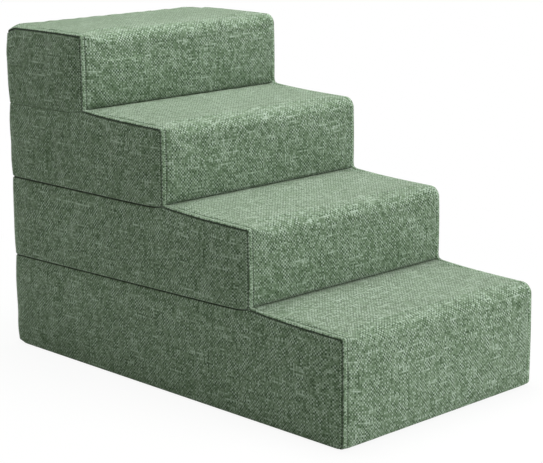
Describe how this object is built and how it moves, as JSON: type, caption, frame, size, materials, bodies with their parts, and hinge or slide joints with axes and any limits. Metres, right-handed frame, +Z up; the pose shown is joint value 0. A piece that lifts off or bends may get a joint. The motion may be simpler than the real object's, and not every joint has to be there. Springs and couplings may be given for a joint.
{
  "type": "pet stairs",
  "caption": "Foam pet stairs with deep soft treads under a woven fabric cover, with welted edges and a zip at the back.",
  "frame": {"origin": "the middle of the footprint, on the floor", "axes": "+X towards the lowest step, +Y across, +Z up. The upright back is at -X."},
  "size_m": [0.6563, 0.363, 0.4599],
  "materials": {
    "foam_core": "matte",
    "cover_cloth": "matte",
    "antislip_cloth": "matte",
    "zip_tape": "matte",
    "zip_teeth": "satin",
    "zip_metal": "satin"
  },
  "bodies": {
    "root": {"base_foam_slab": "foam_core", "second_foam_slab": "foam_core", "third_foam_slab": "foam_core", "top_foam_slab": "foam_core", "first_step_panel": "cover_cloth", "second_step_panel": "cover_cloth", "third_step_panel": "cover_cloth", "top_step_panel": "cover_cloth", "left_first_belt": "cover_cloth", "right_first_belt": "cover_cloth", "left_second_belt": "cover_cloth", "right_second_belt": "cover_cloth", "left_third_belt": "cover_cloth", "right_third_belt": "cover_cloth", "left_top_belt": "cover_cloth", "right_top_belt": "cover_cloth", "base_panel": "antislip_cloth", "zip_tape_left": "zip_tape", "zip_tape_right": "zip_tape", "zip_teeth_left": "zip_teeth", "zip_teeth_right": "zip_teeth", "zip_lower_stops": "zip_teeth", "zip_upper_stop": "zip_teeth"},
    "slider": {"zip_slider": "zip_metal"},
    "pull": {"zip_pull": "zip_metal"}
  },
  "joints": [
    {"name": "zip_slide", "type": "slide", "parent": "root", "child": "slider", "axis": [0, 0, 1], "range_m": [0, 0.3755], "deforming": ["zip_teeth_left", "zip_teeth_right"]},
    {"name": "pull_swing", "type": "hinge", "parent": "slider", "child": "pull", "pos_m": [-0.3206, 0, 0.04342], "axis": [0, 1, 0], "range_deg": [0, 165]}
  ]
}
